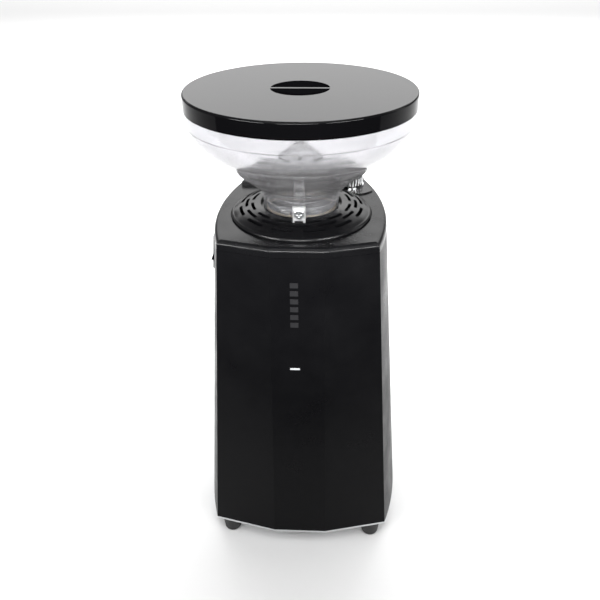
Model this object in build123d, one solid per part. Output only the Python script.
from build123d import *

import math
import os

# Electric burr coffee grinder. Millimetres, +Z up, the user's side faces -Y.
# Everything is drawn about the vertical grinding axis at x = y = 0, with z = 0 on the worktop.
# At the end each piece is moved by AXIS_Y, so that the origin is the middle of the footprint box.

# --- Heights ---------------------------------------------------------------------------------
FOOT_HEIGHT = 18.0
BASE_THICKNESS = 2.0
BODY_BOTTOM_Z = FOOT_HEIGHT + BASE_THICKNESS
COVER_SEAM_Z = 304.0
BODY_TOP_Z = 312.0
SEAM_GAP = 0.2
CUT = 1.0  # how far a cutting tool runs past the faces it opens
FAR = 150.0  # half size of a tool that cuts right across the body

# --- Plan of the tapered body: name -> (half width, y) at the bottom and at the top -----------
PLAN = {
    "rear": ((23.6, 78.2), (20.8, 68.0)),
    "corner": ((80.4, 64.3), (61.7, 56.5)),
    "belly": ((92.3, -6.0), (69.6, -2.0)),
    "shoulder": ((77.0, -88.0), (54.0, -80.0)),
    "cheek": ((71.0, -109.0), (50.0, -95.0)),
    "nose": ((56.0, -121.4), (41.0, -105.0)),
}
WALL = 3.0
FRONT_SPLIT_Y = -76.0
COVER_FILLET = 4.0
FRONT_REACH = -PLAN["nose"][0][1]

# --- Hopper and lid --------------------------------------------------------------------------
LID_RADIUS = 88.6
LID_TOP_Z = 412.5
LID_SKIRT_Z = 400.6
LID_SHEET = 3.0
LID_SKIRT_WALL = 2.6
LID_EDGE_RADIUS = 1.6
LID_PLUG_RADIUS = 84.6
LID_PLUG_WALL = 2.2
LID_PLUG_Z = 399.4
LID_SEAL_HEIGHT = 2.0
LID_RECESS_RADIUS = 22.5
LID_RECESS_DEPTH = 9.0
LID_BAR_WIDTH = 3.2
HOPPER_RIM_Z = 400.4
HOPPER_WALL = 2.2
NECK_RADIUS = 30.2
NECK_BOTTOM_Z = 300.3
# Outside of the bowl from rim to neck: radius, height, and the direction the wall faces.
HOPPER_LINE = [
    (88.4, HOPPER_RIM_Z, 0.0),
    (88.0, 390.0, 2.0),
    (83.2, 379.6, 32.0),
    (73.0, 369.2, 50.0),
    (54.0, 353.4, 50.0),
    (40.0, 341.6, 50.0),
    (32.6, 334.0, 40.0),
    (30.8, 328.0, 6.0),
]

# --- Bean guard, clamp and seal on the hopper's neck -----------------------------------------
SEAL_BOTTOM_Z = 319.4
GUARD_BOTTOM_Z = 321.0
GUARD_RADIUS = 27.6
GUARD_WALL = 2.0
GUARD_RING_HEIGHT = 5.0
GUARD_SHOULDER_Z = 341.0
GUARD_TOP_Z = 374.0
GUARD_CAP_RADIUS = 18.0
GUARD_CAP_Z = 360.0
GUARD_CAP_SHEET = 2.0
GUARD_POST_RADIUS = 2.2
VANE_THICKNESS = 2.4
CLAMP_Z = 324.6
CLAMP_FACE_Y = 31.6
CLAMP_SHEET = 1.3
CLAMP_HALF_WIDTH = 5.0
CLAMP_TOP_Z = 330.5
CLAMP_BEND_Z = 320.4
CLAMP_TONGUE_Y = 38.0
CLAMP_TONGUE_Z = 318.6
CLAMP_BOSS_RADIUS = 2.8
CLAMP_HOLE_RADIUS = 1.6
CLAMP_HEAD_RADIUS = 4.0
CLAMP_HEAD_HEIGHT = 2.2

# --- Vent ring and hopper socket -------------------------------------------------------------
RING_RADIUS = 57.2
RING_HOLE_RADIUS = 33.2
RING_EDGE_Z = 313.6
RING_CREST_Z = 321.6
RING_WALL = 2.6
RING_BULGE = (46.0, 319.2)
RING_BULGE_UNDER = (45.8, 316.4)
RING_LIP = 2.0
RING_FLANGE_RADIUS = 61.0
RING_GAP = 0.8
COVER_PLATE = 3.0
SOCKET_RADIUS = 33.0
SOCKET_TOP_Z = 318.4
SPIDER_Z = 306.0
SPIDER_SHEET = 2.0
SPIDER_ARMS = 8
SLOT_ROWS = [(49.3, 15.0), (44.5, 0.0), (39.7, 15.0)]
SLOT_COUNT = 12
SLOT_SWEEP = 18.0
SLOT_WIDTH = 2.5
NOTCH_HALF_WIDTH = 6.4
NOTCH_Y = 30.0
NOTCH_DEPTH_Y = 38.5

# --- Grinding gear ---------------------------------------------------------------------------
SHAFT_RADIUS = 6.0
RUNNING_GAP = 0.04
BURR_RADIUS = 27.0
LOWER_BURR_Z = 242.0
LOWER_BURR_TOP_Z = 248.0
UPPER_BURR_Z = 249.2
UPPER_BURR_TOP_Z = 255.0
BURR_GROOVES = 18
CHAMBER_RADIUS = 36.0
CHAMBER_FLOOR_Z = 232.0
CARRIER_RADIUS = 34.0
CARRIER_TOP_Z = 275.2
PORT_HALF_WIDTH = 11.0
PORT_BOTTOM_Z = 233.0
PORT_TOP_Z = 251.0
CHUTE_WALL = 2.0
CHUTE_BORE = 7.0
CHUTE_BOTTOM_Z = 199.0
GEAR_MODULE = 1.5
COLLAR_TEETH = 80
PINION_TEETH = 16
GEAR_BOTTOM_Z = 276.4
GEAR_TOP_Z = 282.4
COLLAR_BORE = 23.5
COLLAR_SKIRT_RADIUS = 44.0
COLLAR_SKIRT_BORE = 40.4
COLLAR_SKIRT_Z = 262.0
KNOB_X = -40.0
GEAR_DISTANCE = GEAR_MODULE * (COLLAR_TEETH + PINION_TEETH) / 2
KNOB_Y = -math.sqrt(GEAR_DISTANCE**2 - KNOB_X**2)
KNOB_SHAFT_RADIUS = 3.0
KNOB_RADIUS = 11.8
KNOB_TOP_Z = 322.4
KNOB_EDGE_RADIUS = 1.2
KNOB_RIBS = 24
KNOB_RIB_RADIUS = 1.0
PAD_RADIUS = 25.0
PAD_TOP_Z = 313.2
PAD_HOLE_RADIUS = 5.0
PAD_EDGE = 0.8
DIAL_RING_RADIUS = 12.6
DIAL_RING_HEIGHT = 1.0
KNOB_GAP = 0.4
KNOB_BOTTOM_Z = PAD_TOP_Z + DIAL_RING_HEIGHT + KNOB_GAP
DECK_HEIGHT = 4.2
DECK_INSET = 0.4
DECK_EDGE_RADIUS = 1.2
DECK_BACK_Y = -57.5
DECK_RING_GAP = 4.0

# --- Motor -----------------------------------------------------------------------------------
MOTOR_RADIUS = 44.0
MOTOR_WALL = 2.5
MOTOR_BOTTOM_Z = 66.0
MOTOR_TOP_Z = 176.0
MOTOR_FOOT_Z = 60.0
DECK_Z = 184.0
DECK_SHEET = 6.0
DECK_HALF_WIDTH = 62.0
DECK_HALF_DEPTH = 48.0
DECK_CORNER = 10.0
DECK_BORE = 17.0
POST_X = 52.0
POST_Y = 38.0
POST_RADIUS = 5.0
DECK_HOLE_RADIUS = 2.5
STATOR_BORE = 24.4
STATOR_Z = (96.0, 152.0)
STATOR_SLOTS = 12
WINDING_RADII = (38.0, 27.0)
WINDING_HEIGHT = 10.0
ROTOR_RADIUS = 23.6
ROTOR_Z = (94.0, 154.0)
ROTOR_RING_RADII = (22.0, 16.0)
ROTOR_RING_HEIGHT = 4.0
SHAFT_Z = (42.0, 252.0)
BEARING_RADIUS = 16.0
SPINDLE_BEARING_RADIUS = 14.0
SPINDLE_BEARING_Z = (214.0, 226.0)
BEARING_GROOVE_HALF = 1.6
BEARING_GROOVE_DEPTH = 0.6
FAN_HUB_RADIUS = 11.0
FAN_Z = (46.0, 58.0)
FAN_BLADES = 9
FAN_BLADE = (27.0, 1.6, 12.0)
FAN_BLADE_MIDDLE = 23.5
FAN_PITCH = 35.0
CAPACITOR_PLACE = (64.0, 2.0)
CAPACITOR_RADIUS = 15.0
CAPACITOR_TOP_Z = 78.0
TAB_HEIGHT = 6.0

# --- Grounds bay, container and controls -----------------------------------------------------
BAY_HALF_WIDTH = 45.0
BAY_BACK_Y = -57.0
BAY_FLOOR_Z = 41.0
BAY_ROOF_Z = 202.0
BAY_WALL = 2.5
CUP_HALF_WIDTH = 40.0
CUP_BACK_Y = -61.0
CUP_FRONT_Y = -110.0
CUP_TOP_Z = 150.0
CUP_WALL = 2.0
CHUTE_Y = -84.0
CHUTE_HOLE_RADIUS = 11.0
CUP_CORNER = 8.0
CUP_FLOOR = 2.8
CUP_GAP = 0.2
LID_MOUTH_RADIUS = 14.0
GRIP_HALF_WIDTH = 22.0
GRIP_REACH = 4.0
GRIP_Z = (118.0, 122.0)
SWITCH_Y = -2.0
SWITCH_Z = 278.5
SWITCH_HALF_WIDTH = 10.0
SWITCH_HALF_HEIGHT = 13.0
SWITCH_FLANGE = 2.0
SWITCH_SINK = 0.5
SWITCH_FACE = 1.8
SWITCH_DEPTH = 8.4
SWITCH_WALL = 1.6
ROCKER_AXIS_DEPTH = 2.0
ROCKER_HALF_WIDTH = 8.0
ROCKER_TIP_ANGLE = 5.0
BUTTON_X = 14.0
BUTTON_Z = 238.0
BUTTON_RADIUS = 6.0
BUTTON_GAP = 0.4
BUTTON_FLANGE_RADIUS = 7.4
BUTTON_STEM_RADIUS = 1.8
BUTTON_STEM_Y = -101.9
BOARD_FRONT_Y = -96.6
BOARD_BACK_Y = -95.0
BOARD_HALF_WIDTH = 36.0
BOARD_Z = (226.0, 298.0)
SWITCH_CAN_HALF = 3.2
SWITCH_CAN_Y = -100.0
DISPLAY_HALF_WIDTH = 18.0
DISPLAY_Z = (262.0, 286.0)
DISPLAY_MODULE_Y = -103.0
DISPLAY_EDGE = 2.0
WINDOW_GAP = 0.2
WINDOW_Y = (-107.6, -104.0)

# --- Stand: feet, screws and the inlet for the mains lead ------------------------------------
FOOT_PLACES = [(67.0, 57.0), (-67.0, 57.0), (58.0, -98.0), (-58.0, -98.0)]
FOOT_RADII = (7.6, 9.6)
FOOT_EDGE_RADIUS = 3.0
FOOT_BORE_Z = 7.0
BOSS_PLACES = [(66.0, 40.0), (-66.0, 40.0), (68.0, -62.0), (-68.0, -62.0)]
BOSS_RADIUS = 5.0
BOSS_TOP_Z = 44.0
BOSS_BORE_Z = 36.0
RIB_HALF = 1.5
POST_PLACES = [(POST_X, POST_Y), (-POST_X, POST_Y), (POST_X, -POST_Y), (-POST_X, -POST_Y)]
SCREW_RADIUS = 2.0
SCREW_GAP = 0.1
SCREW_HEAD_RADIUS = 4.0
SCREW_HEAD_HEIGHT = 2.4
SCREW_SLOT_HALF = 0.5
SCREW_SLOT_DEPTH = 0.9
BASE_SLOT = (34.0, 3.0)
BASE_SLOT_PITCH = 8.0
BASE_SLOT_ROWS = range(-3, 4)
GLAND_PLACE = (0.0, 62.0)
GLAND_RADIUS = 6.5
GLAND_BORE = 3.6
GLAND_FLANGE_RADIUS = 9.0
GLAND_FLANGE = 5.0
GLAND_REACH = 9.0

AXIS_Y = (FRONT_REACH - LID_RADIUS) / 2


# --- Shape helpers ---------------------------------------------------------------------------
def tube(outer, inner, z0, z1, x=0.0, y=0.0):
    """Upright ring of two radii between two heights."""
    wall = Cylinder(outer, z1 - z0) - Cylinder(inner, z1 - z0)
    return Pos(x, y, (z0 + z1) / 2) * wall


def rod(radius, z0, z1, x=0.0, y=0.0):
    """Upright round bar between two heights."""
    return Pos(x, y, (z0 + z1) / 2) * Cylinder(radius, z1 - z0)


def block(x0, x1, y0, y1, z0, z1):
    """Box between two corners."""
    middle = ((x0 + x1) / 2, (y0 + y1) / 2, (z0 + z1) / 2)
    return Pos(*middle) * Box(x1 - x0, y1 - y0, z1 - z0)


def pin_along_y(radius, y0, y1, x, z):
    """Round bar lying along Y."""
    return Pos(x, (y0 + y1) / 2, z) * Rot(90, 0, 0) * Cylinder(radius, abs(y1 - y0))


def turned(*edges):
    """Solid of revolution about Z from closed edges drawn as (radius, height) pairs."""
    return revolve(make_face(Plane.XZ * Wire(list(edges))), Axis.Z)


def turned_polygon(*points):
    """Solid of revolution from a polygon of (radius, height) corners."""
    return revolve(Plane.XZ * make_face(Polyline(*points, close=True)), Axis.Z)


def plan_point(name, z, inset):
    """Half width and y of one named corner of the body's plan at a height."""
    (half_low, y_low), (half_high, y_high) = PLAN[name]
    rise = (z - BODY_BOTTOM_Z) / (BODY_TOP_Z - BODY_BOTTOM_Z)
    half = half_low + (half_high - half_low) * rise - inset
    y = y_low + (y_high - y_low) * rise
    if name == "belly":
        return half, y
    return half, y - math.copysign(inset, y)


def plan_face(z, inset=0.0):
    """The body's plan at a height: three rear facets, bowed sides, round cheeks, flat nose."""
    right = {name: plan_point(name, z, inset) for name in PLAN}
    left = {name: (-half, y) for name, (half, y) in right.items()}
    edges = [
        Line(left["corner"], left["rear"]),
        Line(left["rear"], right["rear"]),
        Line(right["rear"], right["corner"]),
        ThreePointArc(right["corner"], right["belly"], right["shoulder"]),
        ThreePointArc(right["shoulder"], right["cheek"], right["nose"]),
        Line(right["nose"], left["nose"]),
        ThreePointArc(left["nose"], left["cheek"], left["shoulder"]),
        ThreePointArc(left["shoulder"], left["belly"], left["corner"]),
    ]
    return Pos(0, 0, z) * make_face(edges)


def body_block(z0, z1, inset=0.0):
    """Solid block of the tapered body between two heights."""
    return loft([plan_face(z0, inset), plan_face(z1, inset)], ruled=True)


def body_shell(z0, z1):
    """The body's wall between two heights, open above and below."""
    return body_block(z0, z1) - body_block(z0 - CUT, z1 + CUT, WALL)


def gear_sketch(teeth, turn=0.0):
    """Spur gear outline with straight-flanked teeth and working backlash."""
    pitch_radius = GEAR_MODULE * teeth / 2
    root = pitch_radius - 1.2 * GEAR_MODULE
    tip = pitch_radius + 0.85 * GEAR_MODULE
    half_pitch_width = 0.2 * math.pi * GEAR_MODULE
    half_root_width = half_pitch_width + 0.35 * GEAR_MODULE
    half_tip_width = half_pitch_width - 0.3 * GEAR_MODULE
    corners = []
    for tooth in range(teeth):
        middle = math.radians(turn) + 2 * math.pi * tooth / teeth
        for radius, offset in (
            (root, -half_root_width),
            (tip, -half_tip_width),
            (tip, half_tip_width),
            (root, half_root_width),
        ):
            angle = middle + offset / radius
            corners.append((radius * math.cos(angle), radius * math.sin(angle)))
    return make_face(Polyline(*corners, close=True))


def screws(places, head_radius, head_z, hole_radius, tip_z, head_height):
    """Pan-head screws standing on the given places, as separate solids of one group."""
    shank_radius = hole_radius - SCREW_GAP
    low, high = min(head_z, tip_z), max(head_z, tip_z)
    way = 1 if head_z > tip_z else -1
    head_end = head_z + way * head_height
    group = []
    for x, y in places:
        head = rod(head_radius, min(head_z, head_end), max(head_z, head_end), x, y)
        slot = Pos(x, y, head_end) * Box(2 * head_radius, 2 * SCREW_SLOT_HALF, 2 * SCREW_SLOT_DEPTH)
        group.append(head + rod(shank_radius, low, high, x, y) - slot)
    return Compound(children=group)


# --- Stand: base plate, feet and their screws ------------------------------------------------
def make_base_plate():
    low, high = FOOT_HEIGHT - CUT, BODY_BOTTOM_Z + CUT
    plate = body_block(FOOT_HEIGHT, BODY_BOTTOM_Z)
    for x, y in FOOT_PLACES + BOSS_PLACES:
        plate -= rod(SCREW_RADIUS, low, high, x, y)
    plate -= rod(GLAND_RADIUS, low, high, *GLAND_PLACE)
    slots = Sketch() + [Pos(0, BASE_SLOT_PITCH * row) * SlotOverall(*BASE_SLOT) for row in BASE_SLOT_ROWS]
    return plate - extrude(Pos(0, 0, low) * slots, high - low)


def make_feet():
    feet = []
    for x, y in FOOT_PLACES:
        foot = Pos(x, y, FOOT_HEIGHT / 2) * Cone(*FOOT_RADII, FOOT_HEIGHT)
        foot = fillet(foot.edges().group_by(Axis.Z)[0], FOOT_EDGE_RADIUS)
        feet.append(foot - rod(SCREW_RADIUS, FOOT_BORE_Z, FOOT_HEIGHT + CUT, x, y))
    return Compound(children=feet)


def make_foot_screws():
    tip_z = FOOT_BORE_Z + 0.5
    return screws(FOOT_PLACES, SCREW_HEAD_RADIUS, BODY_BOTTOM_Z, SCREW_RADIUS, tip_z, SCREW_HEAD_HEIGHT)


def make_base_screws():
    tip_z = BOSS_BORE_Z - 2.0
    return screws(BOSS_PLACES, SCREW_HEAD_RADIUS, FOOT_HEIGHT, SCREW_RADIUS, tip_z, SCREW_HEAD_HEIGHT)


def make_cord_gland():
    low, high = FOOT_HEIGHT - GLAND_FLANGE, FOOT_HEIGHT + GLAND_REACH
    gland = rod(GLAND_FLANGE_RADIUS, low, FOOT_HEIGHT, *GLAND_PLACE)
    gland += rod(GLAND_RADIUS, low, high, *GLAND_PLACE)
    return gland - rod(GLAND_BORE, low - CUT, high + CUT, *GLAND_PLACE)


# --- Casing ----------------------------------------------------------------------------------
def switch_frame(shape):
    """Places a switch piece drawn about the wall's surface, with X pointing out of the wall."""
    half, _ = plan_point("belly", SWITCH_Z, 0)
    (low, _), (high, _) = PLAN["belly"]
    lean = math.degrees(math.atan2(low - high, BODY_TOP_Z - BODY_BOTTOM_Z))
    return Location((half, SWITCH_Y, SWITCH_Z), (0, -lean, 0)) * shape


def switch_block(x0, x1, margin=0.0):
    """Box in the switch frame, as wide and tall as the switch body plus a margin all round."""
    width = SWITCH_HALF_WIDTH + margin
    height = SWITCH_HALF_HEIGHT + margin
    return block(x0, x1, -width, width, -height, height)


def make_main_housing():
    shell = body_shell(BODY_BOTTOM_Z, COVER_SEAM_Z)
    for x, y in BOSS_PLACES:
        shell += rod(BOSS_RADIUS, BODY_BOTTOM_Z, BOSS_TOP_Z, x, y)
        rib = block(min(x, 2 * x), max(x, 2 * x), y - RIB_HALF, y + RIB_HALF, BODY_BOTTOM_Z, BOSS_TOP_Z)
        shell += rib & body_block(BODY_BOTTOM_Z, BOSS_TOP_Z, WALL / 2)
        shell -= rod(SCREW_RADIUS, BODY_BOTTOM_Z - CUT, BOSS_BORE_Z, x, y)
    shell &= block(-FAR, FAR, FRONT_SPLIT_Y, FAR, 0, BODY_TOP_Z)
    shell -= switch_frame(switch_block(-WALL - CUT, WALL + CUT))
    return shell - switch_frame(switch_block(-SWITCH_SINK, WALL + CUT, SWITCH_FLANGE))


def make_front_panel():
    panel = body_shell(BODY_BOTTOM_Z, COVER_SEAM_Z) & block(-FAR, FAR, -FAR, FRONT_SPLIT_Y, 0, BODY_TOP_Z)
    outer = block(
        -BAY_HALF_WIDTH - BAY_WALL,
        BAY_HALF_WIDTH + BAY_WALL,
        -FAR,
        BAY_BACK_Y + BAY_WALL,
        BAY_FLOOR_Z - BAY_WALL,
        BAY_ROOF_Z + BAY_WALL,
    )
    panel += outer & body_block(BODY_BOTTOM_Z, COVER_SEAM_Z)
    panel -= block(-BAY_HALF_WIDTH, BAY_HALF_WIDTH, -FAR, BAY_BACK_Y, BAY_FLOOR_Z, BAY_ROOF_Z)
    panel -= rod(CHUTE_HOLE_RADIUS, BAY_ROOF_Z - CUT, BAY_ROOF_Z + BAY_WALL + CUT, 0, CHUTE_Y)
    panel -= block(-DISPLAY_HALF_WIDTH, DISPLAY_HALF_WIDTH, -FAR, SWITCH_CAN_Y, *DISPLAY_Z)
    for x in (-BUTTON_X, BUTTON_X):
        panel -= pin_along_y(BUTTON_RADIUS + BUTTON_GAP, -FAR, SWITCH_CAN_Y, x, BUTTON_Z)
    return panel


def make_top_cover():
    cover = body_block(COVER_SEAM_Z + SEAM_GAP, BODY_TOP_Z)
    cover = fillet(cover.edges().group_by(Axis.Z)[-1], COVER_FILLET)
    cover -= body_block(COVER_SEAM_Z - CUT, BODY_TOP_Z - COVER_PLATE, WALL)
    cover -= rod(RING_RADIUS + RING_GAP, COVER_SEAM_Z, BODY_TOP_Z + CUT)
    return cover - rod(PAD_HOLE_RADIUS, COVER_SEAM_Z, BODY_TOP_Z + CUT, KNOB_X, KNOB_Y)


def make_front_cap():
    """Raised deck over the front of the top cover, cut round for the dial pad."""
    low, high = BODY_TOP_Z - CUT, BODY_TOP_Z + DECK_HEIGHT + CUT
    deck = extrude(plan_face(BODY_TOP_Z, COVER_FILLET + DECK_INSET), DECK_HEIGHT)
    deck &= block(-FAR, FAR, -FAR, DECK_BACK_Y, low, high)
    deck = fillet(deck.edges().group_by(Axis.Z)[-1], DECK_EDGE_RADIUS)
    deck -= rod(RING_RADIUS + DECK_RING_GAP, low, high)
    return deck - rod(PAD_RADIUS + 0.6, low, high, KNOB_X, KNOB_Y)


def make_dial_pad():
    """Low round step under the knob, trimmed by the cover's edge and the vent ring."""
    low, high = BODY_TOP_Z - CUT, PAD_TOP_Z + CUT
    pad = rod(PAD_RADIUS, BODY_TOP_Z, PAD_TOP_Z, KNOB_X, KNOB_Y)
    pad = chamfer(pad.edges().group_by(Axis.Z)[-1], PAD_EDGE)
    pad &= extrude(plan_face(BODY_TOP_Z, COVER_FILLET + DECK_INSET), PAD_TOP_Z - BODY_TOP_Z)
    pad -= rod(RING_RADIUS + 2 * RING_GAP, low, high)
    return pad - rod(PAD_HOLE_RADIUS, low, high, KNOB_X, KNOB_Y)


def make_knob_bushing():
    bore = KNOB_SHAFT_RADIUS + RUNNING_GAP
    return tube(PAD_HOLE_RADIUS - 0.05, bore, SPIDER_Z, PAD_TOP_Z + DIAL_RING_HEIGHT, KNOB_X, KNOB_Y)


def make_dial_ring():
    return tube(DIAL_RING_RADIUS, PAD_HOLE_RADIUS, PAD_TOP_Z, PAD_TOP_Z + DIAL_RING_HEIGHT, KNOB_X, KNOB_Y)


# --- Vent ring and hopper socket -------------------------------------------------------------
def hopper_notch():
    """Slot at the back of the ring and socket that takes the hopper's clamp."""
    return block(-NOTCH_HALF_WIDTH, NOTCH_HALF_WIDTH, NOTCH_Y, NOTCH_DEPTH_Y, SPIDER_Z + 4, CLAMP_TOP_Z)


def make_vent_ring():
    """Domed ring round the hopper with a rounded lip, hung from a flange under the cover."""
    plate_z = BODY_TOP_Z - COVER_PLATE
    flange_z = plate_z - RING_WALL
    inner = RING_RADIUS - RING_WALL
    lip_low = (RING_RADIUS, RING_EDGE_Z - 0.5 * RING_LIP)
    lip_middle = (RING_RADIUS - 0.3 * RING_LIP, RING_EDGE_Z + 0.25 * RING_LIP)
    lip_top = (RING_RADIUS - RING_LIP, RING_EDGE_Z + 0.6 * RING_LIP)
    crest = (RING_HOLE_RADIUS, RING_CREST_Z)
    crest_under = (RING_HOLE_RADIUS, RING_CREST_Z - RING_WALL)
    inner_edge = (inner, RING_EDGE_Z - RING_WALL + 0.6)
    ring = turned(
        Line((RING_FLANGE_RADIUS, flange_z), (RING_FLANGE_RADIUS, plate_z)),
        Line((RING_FLANGE_RADIUS, plate_z), (RING_RADIUS, plate_z)),
        Line((RING_RADIUS, plate_z), lip_low),
        ThreePointArc(lip_low, lip_middle, lip_top),
        ThreePointArc(lip_top, RING_BULGE, crest),
        Line(crest, crest_under),
        ThreePointArc(crest_under, RING_BULGE_UNDER, inner_edge),
        Line(inner_edge, (inner, flange_z)),
        Line((inner, flange_z), (RING_FLANGE_RADIUS, flange_z)),
    )
    slots = Sketch()
    for radius, start in SLOT_ROWS:
        for step in range(SLOT_COUNT):
            middle = start + 360 / SLOT_COUNT * step
            arc = CenterArc((0, 0), radius, middle - SLOT_SWEEP / 2, SLOT_SWEEP)
            slots += SlotArc(arc, SLOT_WIDTH)
    ring -= extrude(Pos(0, 0, plate_z) * slots, 20)
    return ring - hopper_notch()


def make_hopper_socket():
    """Cup for the hopper's neck, carried by a spider inside the vent ring."""
    bore = NECK_RADIUS + 0.5
    neck_z = NECK_BOTTOM_Z - 0.3
    throat = 27.0
    spout = throat - 2.5
    shelf_z = neck_z - WALL
    spout_z = GEAR_TOP_Z + 1.6
    socket = turned_polygon(
        (bore, neck_z), (bore, SOCKET_TOP_Z), (SOCKET_RADIUS, SOCKET_TOP_Z), (SOCKET_RADIUS, shelf_z),
        (throat, shelf_z), (throat, spout_z), (spout, spout_z), (spout, neck_z),
    )
    plate = tube(RING_RADIUS - RING_WALL, SOCKET_RADIUS - 1, SPIDER_Z, SPIDER_Z + SPIDER_SHEET)
    window = Pos(44.0, 0, SPIDER_Z + SPIDER_SHEET / 2) * Box(14, 14, SPIDER_SHEET + 2 * CUT)
    for step in range(SPIDER_ARMS):
        plate -= Rot(0, 0, 360 / SPIDER_ARMS * (step + 0.5)) * window
    return socket + plate - hopper_notch()


# --- Hopper, guard, clamp and lid ------------------------------------------------------------
def hopper_edges(inset):
    """The bowl's line from rim to neck, moved inwards by an inset along each wall direction."""
    points = []
    for radius, z, facing in HOPPER_LINE:
        lean = math.radians(facing)
        points.append((radius - inset * math.cos(lean), z + inset * math.sin(lean)))
    points[0] = (points[0][0], HOPPER_RIM_Z)
    rim, shoulder, bend, slope_top, slope_low, throat, bend_low, neck = points
    return [
        Line(rim, shoulder),
        ThreePointArc(shoulder, bend, slope_top),
        Line(slope_top, slope_low),
        Line(slope_low, throat),
        ThreePointArc(throat, bend_low, neck),
        Line(neck, (NECK_RADIUS - inset, NECK_BOTTOM_Z)),
    ]


def make_hopper():
    """Bowl and neck in one clear shell, with a round boss on the neck for the clamp."""
    outer = hopper_edges(0.0)
    inner = hopper_edges(HOPPER_WALL)
    rim = Line(outer[0] @ 0, inner[0] @ 0)
    foot = Line(outer[-1] @ 1, inner[-1] @ 1)
    bowl = turned(*outer, foot, *inner, rim)
    bowl += pin_along_y(CLAMP_BOSS_RADIUS, NECK_RADIUS - HOPPER_WALL / 2, CLAMP_FACE_Y, 0, CLAMP_Z)
    return bowl - pin_along_y(CLAMP_HOLE_RADIUS, GUARD_RADIUS - WALL, CLAMP_FACE_Y + CUT, 0, CLAMP_Z)


def make_bean_guard():
    """Clear ring, three upright vanes and a pointed cap, which keep fingers out of the neck."""
    ring_top_z = GUARD_BOTTOM_Z + GUARD_RING_HEIGHT
    guard = tube(GUARD_RADIUS, GUARD_RADIUS - GUARD_WALL, GUARD_BOTTOM_Z, ring_top_z)
    reach = GUARD_RADIUS - GUARD_WALL / 2
    outline = Polyline(
        (0, GUARD_BOTTOM_Z),
        (reach, GUARD_BOTTOM_Z),
        (reach, GUARD_SHOULDER_Z),
        (GUARD_CAP_RADIUS - 2, GUARD_CAP_Z),
        (0, GUARD_CAP_Z),
        close=True,
    )
    vane = extrude(Plane.XZ * make_face(outline), VANE_THICKNESS / 2, both=True)
    for turn in (90, 210, 330):
        guard += Rot(0, 0, turn) * vane
    guard += rod(GUARD_POST_RADIUS, GUARD_BOTTOM_Z, GUARD_TOP_Z - GUARD_CAP_SHEET)
    return guard + turned_polygon(
        (0, GUARD_TOP_Z),
        (GUARD_CAP_RADIUS, GUARD_CAP_Z),
        (GUARD_CAP_RADIUS, GUARD_CAP_Z - GUARD_CAP_SHEET),
        (0, GUARD_TOP_Z - GUARD_CAP_SHEET),
    )


def make_neck_seal():
    """Silicone ring on the inside of the neck, under the bean guard."""
    outer = NECK_RADIUS - HOPPER_WALL + 0.3
    return tube(outer, GUARD_RADIUS - GUARD_WALL, SEAL_BOTTOM_Z, GUARD_BOTTOM_Z)


def make_clamp_plate():
    """Sheet strip on the neck's boss; its lower tongue bends out into the vent ring's notch."""
    front_y = CLAMP_FACE_Y + CLAMP_SHEET
    side = Polyline(
        (CLAMP_FACE_Y, CLAMP_TOP_Z),
        (front_y, CLAMP_TOP_Z),
        (front_y, CLAMP_BEND_Z),
        (CLAMP_TONGUE_Y, CLAMP_TONGUE_Z),
        (CLAMP_TONGUE_Y, CLAMP_TONGUE_Z - CLAMP_SHEET),
        (CLAMP_FACE_Y, CLAMP_BEND_Z - CLAMP_SHEET),
        close=True,
    )
    plate = extrude(Plane.YZ * make_face(side), CLAMP_HALF_WIDTH, both=True)
    return plate - pin_along_y(CLAMP_HOLE_RADIUS, CLAMP_FACE_Y - CUT, front_y + CUT, 0, CLAMP_Z)


def make_clamp_screw():
    """Cross-slot pan head that holds the clamp plate to the neck."""
    seat_y = CLAMP_FACE_Y + CLAMP_SHEET
    face_y = seat_y + CLAMP_HEAD_HEIGHT
    head = pin_along_y(CLAMP_HEAD_RADIUS, seat_y, face_y, 0, CLAMP_Z)
    head = fillet(head.edges().group_by(Axis.Y)[-1], 0.4 * CLAMP_HEAD_HEIGHT)
    arm, groove = 1.1 * CLAMP_HEAD_RADIUS, 0.9
    for width, height in ((groove, arm), (arm, groove)):
        head -= Pos(0, face_y, CLAMP_Z) * Box(width, CLAMP_HEAD_HEIGHT, height)
    shank_tip_y = NECK_RADIUS - HOPPER_WALL
    return head + pin_along_y(CLAMP_HOLE_RADIUS - SCREW_GAP, shank_tip_y, seat_y, 0, CLAMP_Z)


def make_lid():
    """Flat lid with a shallow skirt, a locating plug and a round finger recess with a bar."""
    top = rod(LID_RADIUS, LID_SKIRT_Z, LID_TOP_Z)
    top = fillet(top.edges().group_by(Axis.Z)[-1], LID_EDGE_RADIUS)
    top -= rod(LID_RADIUS - LID_SKIRT_WALL, LID_SKIRT_Z - CUT, LID_TOP_Z - LID_SHEET)
    top += tube(LID_PLUG_RADIUS, LID_PLUG_RADIUS - LID_PLUG_WALL, LID_PLUG_Z, LID_TOP_Z - CUT)
    cup_floor = LID_TOP_Z - LID_RECESS_DEPTH
    top += rod(LID_RECESS_RADIUS + 2.0, cup_floor - 2.0, LID_TOP_Z - CUT)
    top -= rod(LID_RECESS_RADIUS, cup_floor, LID_TOP_Z + CUT)
    half = LID_BAR_WIDTH / 2
    bar = block(-LID_RADIUS, LID_RADIUS, -half, half, cup_floor - CUT, LID_TOP_Z)
    return top + (bar & rod(LID_RECESS_RADIUS + CUT, cup_floor - CUT, LID_TOP_Z))


def make_lid_seal():
    """Rubber ring in the corner between the lid's skirt and its plug."""
    outer = LID_RADIUS - LID_SKIRT_WALL
    return tube(outer, LID_PLUG_RADIUS, LID_SKIRT_Z + 0.4, LID_SKIRT_Z + 0.4 + LID_SEAL_HEIGHT)


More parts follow.
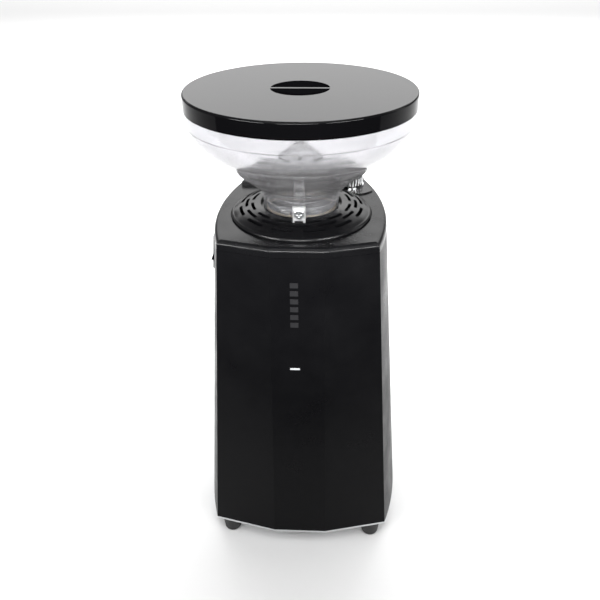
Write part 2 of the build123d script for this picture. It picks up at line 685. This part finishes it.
# --- Grinding chamber and burrs --------------------------------------------------------------
def burr_grooves(z, face_up):
    """Slanted cutting grooves in a burr's face."""
    tilt = 12 if face_up else -12
    groove = Pos(20.5, 3.0, z) * Rot(0, 0, tilt) * Rot(45, 0, 0) * Box(17, 1.8, 1.8)
    return Part() + [Rot(0, 0, 360 / BURR_GROOVES * step) * groove for step in range(BURR_GROOVES)]


def make_grinding_chamber():
    """Cast cup round the burrs on a stem that holds the spindle bearing, with a port at the front."""
    stem_bore = SHAFT_RADIUS + 3
    shaft_bore = SHAFT_RADIUS + 0.6
    foot_z = DECK_Z + DECK_SHEET
    floor_z = CHAMBER_FLOOR_Z - 6
    seat_z, seat_top_z = SPINDLE_BEARING_Z
    rim_z = CARRIER_TOP_Z + 0.8
    step_z = UPPER_BURR_TOP_Z - 1
    guide = CARRIER_RADIUS + 0.4
    chamber = turned_polygon(
        (stem_bore, foot_z), (46.0, foot_z), (46.0, foot_z + 6), (24.0, foot_z + 6), (24.0, floor_z),
        (40.0, floor_z), (40.0, rim_z), (guide, rim_z), (guide, step_z),
        (CHAMBER_RADIUS, step_z), (CHAMBER_RADIUS, CHAMBER_FLOOR_Z), (shaft_bore, CHAMBER_FLOOR_Z),
        (shaft_bore, seat_top_z), (SPINDLE_BEARING_RADIUS, seat_top_z), (SPINDLE_BEARING_RADIUS, seat_z),
        (stem_bore, seat_z),
    )
    return chamber - block(-PORT_HALF_WIDTH, PORT_HALF_WIDTH, -44, -30, PORT_BOTTOM_Z, PORT_TOP_Z)


def make_lower_burr():
    ring = tube(BURR_RADIUS, 12.0, LOWER_BURR_Z, LOWER_BURR_TOP_Z)
    return ring - burr_grooves(LOWER_BURR_TOP_Z, True)


def make_burr_carrier():
    """Disc on the motor shaft that holds the lower burr and sweeps the chamber."""
    disc_z = LOWER_BURR_Z - 7
    disc = tube(BURR_RADIUS, SHAFT_RADIUS, disc_z, LOWER_BURR_Z)
    disc += tube(12.0, SHAFT_RADIUS, LOWER_BURR_Z, LOWER_BURR_TOP_Z)
    sweeper = block(BURR_RADIUS - 3, CHAMBER_RADIUS - 1.2, -1.5, 1.5, disc_z, LOWER_BURR_Z - 1)
    for step in range(3):
        disc += Rot(0, 0, 120 * step) * sweeper
    return disc


def make_burr_nut():
    """Hexagon nut with a pointed cap that feeds beans outwards to the burrs."""
    nut = extrude(Pos(0, 0, LOWER_BURR_TOP_Z) * RegularPolygon(10, 6), 5.0)
    nut -= rod(SHAFT_RADIUS, LOWER_BURR_TOP_Z - CUT, SHAFT_Z[1])
    return nut + Pos(0, 0, LOWER_BURR_TOP_Z + 10) * Cone(8, 3, 10)


def make_upper_burr():
    ring = tube(BURR_RADIUS, 13.0, UPPER_BURR_Z, UPPER_BURR_TOP_Z)
    return ring - burr_grooves(UPPER_BURR_Z, False)


def make_upper_carrier():
    """Sleeve above the burrs: it slides up and down in the chamber and holds the upper burr."""
    return turned_polygon(
        (13.0, UPPER_BURR_TOP_Z), (CARRIER_RADIUS, UPPER_BURR_TOP_Z), (CARRIER_RADIUS, CARRIER_TOP_Z),
        (22.5, CARRIER_TOP_Z), (21.0, 268.0), (13.0, 260.0),
    )


def make_adjustment_collar():
    """Toothed ring that screws down over the chamber and presses on the upper carrier."""
    gear = extrude(Pos(0, 0, GEAR_BOTTOM_Z) * gear_sketch(COLLAR_TEETH), GEAR_TOP_Z - GEAR_BOTTOM_Z)
    gear -= rod(COLLAR_BORE, GEAR_BOTTOM_Z - CUT, GEAR_TOP_Z + CUT)
    return gear + tube(COLLAR_SKIRT_RADIUS, COLLAR_SKIRT_BORE, COLLAR_SKIRT_Z, GEAR_BOTTOM_Z)


def make_knob_pinion():
    """Pinion on the knob's shaft, with a gap facing the collar tooth it meshes with."""
    towards_axis = math.degrees(math.atan2(-KNOB_Y, -KNOB_X))
    collar_side = towards_axis + 180
    collar_step = 360 / COLLAR_TEETH
    collar_phase = (collar_side % collar_step) / collar_step
    turn = towards_axis + (0.5 + collar_phase) * 360 / PINION_TEETH
    gear = extrude(Pos(0, 0, GEAR_BOTTOM_Z) * gear_sketch(PINION_TEETH, turn), GEAR_TOP_Z - GEAR_BOTTOM_Z)
    pinion = Pos(KNOB_X, KNOB_Y, 0) * gear
    return pinion - rod(KNOB_SHAFT_RADIUS, GEAR_BOTTOM_Z - CUT, GEAR_TOP_Z + CUT, KNOB_X, KNOB_Y)


def make_knob_shaft():
    return rod(KNOB_SHAFT_RADIUS, GEAR_BOTTOM_Z - 4, KNOB_TOP_Z - 4, KNOB_X, KNOB_Y)


def make_adjustment_knob():
    """Low round knob with a ring of upright ribs for grip."""
    core = KNOB_RADIUS - 0.9 * KNOB_RIB_RADIUS
    knob = rod(core, KNOB_BOTTOM_Z, KNOB_TOP_Z, KNOB_X, KNOB_Y)
    knob = fillet(knob.edges().group_by(Axis.Z)[-1], KNOB_EDGE_RADIUS)
    reach = KNOB_RADIUS - KNOB_RIB_RADIUS
    for step in range(KNOB_RIBS):
        angle = math.radians(360 / KNOB_RIBS * step)
        x = KNOB_X + reach * math.cos(angle)
        y = KNOB_Y + reach * math.sin(angle)
        knob += rod(KNOB_RIB_RADIUS, KNOB_BOTTOM_Z + 0.4, KNOB_TOP_Z - KNOB_EDGE_RADIUS, x, y)
    return knob - rod(KNOB_SHAFT_RADIUS, KNOB_BOTTOM_Z - CUT, KNOB_TOP_Z - 4, KNOB_X, KNOB_Y)


def make_exit_chute():
    """Hollow elbow from the chamber's side port down through the roof of the bay."""
    bore = CHUTE_BORE
    duct = PORT_HALF_WIDTH
    wall = CHUTE_WALL
    low, high = PORT_BOTTOM_Z, PORT_TOP_Z
    outer = block(-duct - wall, duct + wall, CHUTE_Y - bore - wall, -40.0, low - wall, high + wall)
    outer += rod(bore + wall, CHUTE_BOTTOM_Z, low - CUT, 0, CHUTE_Y)
    inner = block(-duct, duct, CHUTE_Y - bore, -39.0, low, high)
    inner += rod(bore, CHUTE_BOTTOM_Z - CUT, low + CUT, 0, CHUTE_Y)
    return outer - inner - rod(40.0, low - 5 * wall, high + 5 * wall)


def make_spout():
    """Nozzle pushed over the chute's end, under the roof of the bay."""
    sleeve = CHUTE_BORE + CHUTE_WALL + 0.1
    tip = CHUTE_BORE + 0.4
    tip_z = CHUTE_BOTTOM_Z - 11
    stop_z = CHUTE_BOTTOM_Z - 0.2
    nozzle = turned_polygon(
        (tip, tip_z), (tip + CHUTE_WALL, tip_z), (13.0, BAY_ROOF_Z), (sleeve, BAY_ROOF_Z),
        (sleeve, stop_z), (tip, stop_z),
    )
    return Pos(0, CHUTE_Y, 0) * nozzle


# --- Motor and chassis -----------------------------------------------------------------------
def make_chassis_posts():
    return Compound(children=[rod(POST_RADIUS, BODY_BOTTOM_Z, DECK_Z, x, y) for x, y in POST_PLACES])


def make_deck_plate():
    top_z = DECK_Z + DECK_SHEET
    deck = block(-DECK_HALF_WIDTH, DECK_HALF_WIDTH, -DECK_HALF_DEPTH, DECK_HALF_DEPTH, DECK_Z, top_z)
    deck = fillet(deck.edges().filter_by(Axis.Z), DECK_CORNER)
    deck -= rod(DECK_BORE, DECK_Z - CUT, top_z + CUT)
    for x, y in POST_PLACES:
        deck -= rod(DECK_HOLE_RADIUS, DECK_Z - CUT, top_z + CUT, x, y)
    return deck


def make_deck_screws():
    return screws(POST_PLACES, 4.5, DECK_Z + DECK_SHEET, DECK_HOLE_RADIUS, DECK_Z, 2.6)


def make_motor_can():
    """Motor tube with a row of air windows at the fan end."""
    can = tube(MOTOR_RADIUS, MOTOR_RADIUS - MOTOR_WALL, MOTOR_BOTTOM_Z, MOTOR_TOP_Z)
    window = Pos(MOTOR_RADIUS, 0, MOTOR_BOTTOM_Z + 14) * Box(12, 10, 16)
    for step in range(8):
        can -= Rot(0, 0, 22.5 + 45 * step) * window
    return can


def make_end_bell(z0, z1):
    """Motor end shield with a bearing seat and air windows."""
    bell = tube(MOTOR_RADIUS, BEARING_RADIUS, z0, z1)
    window = Pos(30, 0, (z0 + z1) / 2) * Box(14, 10, z1 - z0 + 2 * CUT)
    for step in range(6):
        bell -= Rot(0, 0, 60 * step) * window
    return bell


def make_stator_core():
    z0, z1 = STATOR_Z
    core = tube(MOTOR_RADIUS - MOTOR_WALL, STATOR_BORE, z0, z1)
    slot = Pos(28.6, 0, (z0 + z1) / 2) * Box(8.0, 4.0, z1 - z0 + 4 * CUT)
    for step in range(STATOR_SLOTS):
        core -= Rot(0, 0, 360 / STATOR_SLOTS * step) * slot
    return core


def make_stator_windings():
    low, high = STATOR_Z
    below = tube(*WINDING_RADII, low - WINDING_HEIGHT, low)
    above = tube(*WINDING_RADII, high, high + WINDING_HEIGHT)
    return Compound(children=[below, above])


def make_rotor():
    low, high = ROTOR_Z
    core = tube(ROTOR_RADIUS, SHAFT_RADIUS, low, high)
    below = tube(*ROTOR_RING_RADII, low - ROTOR_RING_HEIGHT, low)
    return core + below + tube(*ROTOR_RING_RADII, high, high + ROTOR_RING_HEIGHT)


def make_motor_shaft():
    return rod(SHAFT_RADIUS, *SHAFT_Z)


def make_bearing(outer, z0, z1):
    """Bearing ring with a shallow groove in each face."""
    ring = tube(outer, SHAFT_RADIUS + RUNNING_GAP, z0, z1)
    middle = (outer + SHAFT_RADIUS) / 2
    radii = (middle + BEARING_GROOVE_HALF, middle - BEARING_GROOVE_HALF)
    ring -= tube(*radii, z1 - BEARING_GROOVE_DEPTH, z1 + CUT)
    return ring - tube(*radii, z0 - CUT, z0 + BEARING_GROOVE_DEPTH)


def make_cooling_fan():
    z0, z1 = FAN_Z
    fan = tube(FAN_HUB_RADIUS, SHAFT_RADIUS, z0, z1)
    blade = Pos(FAN_BLADE_MIDDLE, 0, (z0 + z1) / 2) * Rot(FAN_PITCH, 0, 0) * Box(*FAN_BLADE)
    for step in range(FAN_BLADES):
        fan += Rot(0, 0, 360 / FAN_BLADES * step) * blade
    return fan - rod(SHAFT_RADIUS, z0 - 6, z1 + 6)


def make_run_capacitor():
    can = rod(CAPACITOR_RADIUS, BODY_BOTTOM_Z, CAPACITOR_TOP_Z)
    can = fillet(can.edges().group_by(Axis.Z)[-1], 1.5)
    for x in (-4, 4):
        can += block(x - 2, x + 2, -3, 3, CAPACITOR_TOP_Z, CAPACITOR_TOP_Z + TAB_HEIGHT)
    return Pos(*CAPACITOR_PLACE, 0) * can


def make_terminal_block():
    shell = block(-70, -52, -12, 18, BODY_BOTTOM_Z, 36)
    for y in (-7, 3, 13):
        shell -= block(-72, -64, y - 3, y + 3, 24, 31)
        shell -= rod(2.5, 31.5, 37, -58, y)
    return shell


# --- Controls --------------------------------------------------------------------------------
def make_control_board():
    """Circuit board behind the panel with two chips and a relay."""
    board = block(-BOARD_HALF_WIDTH, BOARD_HALF_WIDTH, BOARD_FRONT_Y, BOARD_BACK_Y, *BOARD_Z)
    chips = block(-20, -8, BOARD_BACK_Y, -92.6, 270, 282) + block(6, 16, BOARD_BACK_Y, -93.0, 268, 278)
    relay = block(14, 30, BOARD_BACK_Y, -86.0, 230, 242)
    return board + chips + relay


def make_button_switches():
    half = SWITCH_CAN_HALF
    cans = [
        block(x - half, x + half, SWITCH_CAN_Y, BOARD_FRONT_Y, BUTTON_Z - half, BUTTON_Z + half)
        for x in (-BUTTON_X, BUTTON_X)
    ]
    return Compound(children=cans)


def make_display_module():
    half = DISPLAY_HALF_WIDTH - DISPLAY_EDGE
    low, high = DISPLAY_Z
    return block(-half, half, DISPLAY_MODULE_Y, BOARD_FRONT_Y, low + DISPLAY_EDGE, high - DISPLAY_EDGE)


def make_display_window():
    half = DISPLAY_HALF_WIDTH - WINDOW_GAP
    low, high = DISPLAY_Z
    return block(-half, half, *WINDOW_Y, low + WINDOW_GAP, high - WINDOW_GAP)


def make_dose_button(x):
    """Round button cap with a flange behind the panel and a stem to its switch."""
    face_y = plan_point("nose", BUTTON_Z, 0)[1]
    cap = pin_along_y(BUTTON_RADIUS, face_y - 1.8, face_y + 5.0, x, BUTTON_Z)
    cap = fillet(cap.edges().group_by(Axis.Y)[0], 0.8)
    flange = pin_along_y(BUTTON_FLANGE_RADIUS, face_y + 4.0, face_y + 5.2, x, BUTTON_Z)
    return cap + flange + pin_along_y(BUTTON_STEM_RADIUS, face_y + 5.0, BUTTON_STEM_Y, x, BUTTON_Z)


def make_switch_bezel():
    bezel = switch_block(-SWITCH_SINK, SWITCH_FACE, SWITCH_FLANGE) + switch_block(-SWITCH_DEPTH, 0)
    return switch_frame(bezel - switch_block(1.2 - SWITCH_DEPTH, SWITCH_FACE + CUT, -SWITCH_WALL))


def make_power_rocker():
    """Saddle-shaped rocker, tipped to its off side."""
    side = Polyline((-5, -10.2), (-5, 10.2), (3.4, 10.2), (1.4, 0), (3.4, -10.2), close=True)
    rocker = extrude(Plane.XZ * make_face(side), ROCKER_HALF_WIDTH, both=True)
    axis = Pos(ROCKER_AXIS_DEPTH, 0, 0)
    return switch_frame(axis.inverse() * Rot(0, -ROCKER_TIP_ANGLE, 0) * axis * rocker)


# --- Grounds container -----------------------------------------------------------------------
def cup_block(inset, z0, z1, corner):
    """Box with round upright corners, as large as the grounds container less an inset."""
    half = CUP_HALF_WIDTH - inset
    cup = block(-half, half, CUP_FRONT_Y + inset, CUP_BACK_Y - inset, z0, z1)
    return fillet(cup.edges().filter_by(Axis.Z), corner)


def make_grounds_container():
    """Open clear box with a finger grip across its front."""
    outer = cup_block(0, BAY_FLOOR_Z + CUP_GAP, CUP_TOP_Z, CUP_CORNER)
    inner = cup_block(CUP_WALL, BAY_FLOOR_Z + CUP_GAP + CUP_FLOOR, CUP_TOP_Z + CUT, CUP_CORNER - CUP_WALL)
    grip_y = CUP_FRONT_Y - GRIP_REACH
    grip = block(-GRIP_HALF_WIDTH, GRIP_HALF_WIDTH, grip_y, CUP_FRONT_Y + CUT, *GRIP_Z)
    grip = fillet(grip.edges().filter_by(Axis.Z), GRIP_REACH / 2)
    return outer - inner + grip


def make_container_lid():
    """Flat lid with a hollow plug and a round mouth under the spout."""
    lid = cup_block(0, CUP_TOP_Z + CUP_GAP, CUP_TOP_Z + 4.0, CUP_CORNER)
    plug = cup_block(CUP_WALL + 0.5, CUP_TOP_Z - 4.0, CUP_TOP_Z + CUT, CUP_CORNER - 3)
    hollow = cup_block(CUP_WALL + 2.6, CUP_TOP_Z - 5.0, CUP_TOP_Z + CUP_GAP, CUP_CORNER - 5)
    return lid + plug - hollow - rod(LID_MOUTH_RADIUS, CUP_TOP_Z - 6, CUP_TOP_Z + 6, 0, CHUTE_Y)


PIECES = {
    "base_plate": make_base_plate,
    "feet": make_feet,
    "foot_screws": make_foot_screws,
    "base_screws": make_base_screws,
    "cord_gland": make_cord_gland,
    "main_housing": make_main_housing,
    "front_panel": make_front_panel,
    "top_cover": make_top_cover,
    "front_cap": make_front_cap,
    "dial_pad": make_dial_pad,
    "dial_ring": make_dial_ring,
    "knob_bushing": make_knob_bushing,
    "vent_ring": make_vent_ring,
    "hopper_socket": make_hopper_socket,
    "hopper": make_hopper,
    "bean_guard": make_bean_guard,
    "neck_seal": make_neck_seal,
    "clamp_plate": make_clamp_plate,
    "clamp_screw": make_clamp_screw,
    "lid": make_lid,
    "lid_seal": make_lid_seal,
    "grinding_chamber": make_grinding_chamber,
    "lower_burr": make_lower_burr,
    "burr_carrier": make_burr_carrier,
    "burr_nut": make_burr_nut,
    "upper_burr": make_upper_burr,
    "upper_carrier": make_upper_carrier,
    "adjustment_collar": make_adjustment_collar,
    "knob_pinion": make_knob_pinion,
    "knob_shaft": make_knob_shaft,
    "adjustment_knob": make_adjustment_knob,
    "exit_chute": make_exit_chute,
    "spout": make_spout,
    "chassis_posts": make_chassis_posts,
    "deck_plate": make_deck_plate,
    "deck_screws": make_deck_screws,
    "motor_can": make_motor_can,
    "lower_end_bell": lambda: make_end_bell(MOTOR_FOOT_Z, MOTOR_BOTTOM_Z),
    "upper_end_bell": lambda: make_end_bell(MOTOR_TOP_Z, DECK_Z),
    "stator_core": make_stator_core,
    "stator_windings": make_stator_windings,
    "rotor": make_rotor,
    "motor_shaft": make_motor_shaft,
    "lower_bearing": lambda: make_bearing(BEARING_RADIUS, MOTOR_FOOT_Z, MOTOR_BOTTOM_Z),
    "upper_bearing": lambda: make_bearing(BEARING_RADIUS, MOTOR_TOP_Z, DECK_Z),
    "spindle_bearing": lambda: make_bearing(SPINDLE_BEARING_RADIUS, *SPINDLE_BEARING_Z),
    "cooling_fan": make_cooling_fan,
    "run_capacitor": make_run_capacitor,
    "terminal_block": make_terminal_block,
    "control_board": make_control_board,
    "button_switches": make_button_switches,
    "display_module": make_display_module,
    "display_window": make_display_window,
    "single_dose_button": lambda: make_dose_button(-BUTTON_X),
    "double_dose_button": lambda: make_dose_button(BUTTON_X),
    "switch_bezel": make_switch_bezel,
    "power_rocker": make_power_rocker,
    "grounds_container": make_grounds_container,
    "container_lid": make_container_lid,
}

os.makedirs("parts", exist_ok=True)
for node, make in PIECES.items():
    export_step(Pos(0, AXIS_Y, 0) * make(), f"parts/{node}.step")
print("grinding axis y", AXIS_Y, "knob", KNOB_X, KNOB_Y + AXIS_Y)
